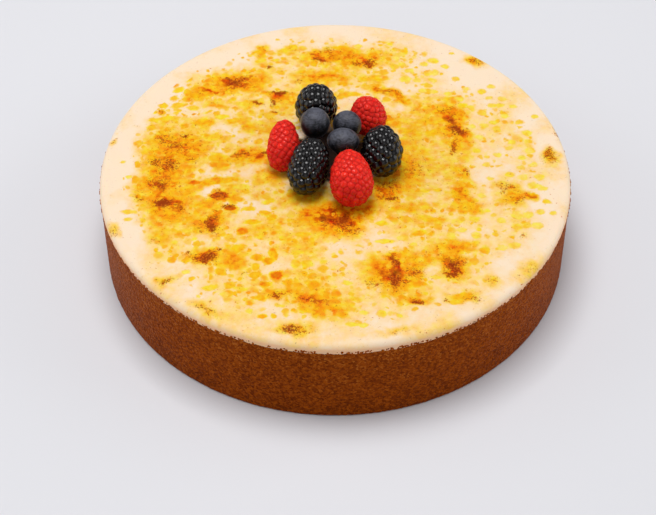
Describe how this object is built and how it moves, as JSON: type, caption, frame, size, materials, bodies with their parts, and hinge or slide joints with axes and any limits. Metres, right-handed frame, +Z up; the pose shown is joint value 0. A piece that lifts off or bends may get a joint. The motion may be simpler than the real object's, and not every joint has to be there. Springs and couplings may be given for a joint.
{
  "type": "creme brulee cheesecake",
  "caption": "Whole round baked cheesecake with a biscuit crumb shell, a torch-browned cream top and a small heap of mixed berries in the middle.",
  "frame": {"origin": "centre of the underside of the crumb shell", "axes": "+Z up, along the cake's axis; the picture's camera looks along +Y, with +X to its right"},
  "size_m": [0.2306, 0.2306, 0.0735],
  "materials": {
    "crumb_crust": "dry pressed biscuit crumb, matt and sandy",
    "browned_cream": "baked cream, softly satin, with torched amber spots",
    "raspberry": "soft red fruit skin, satin with fine hairs",
    "bramble": "near-black fruit skin, glossy",
    "blueberry": "dark blue fruit skin under a waxy bloom"
  },
  "bodies": {
    "root": {"crust": "crumb_crust", "filling": "browned_cream", "raspberry_front": "raspberry", "raspberry_left": "raspberry", "raspberry_back": "raspberry", "bramble_back": "bramble", "bramble_right": "bramble", "bramble_front": "bramble", "blueberry_left": "blueberry", "blueberry_back": "blueberry", "blueberry_front": "blueberry"}
  },
  "joints": []
}
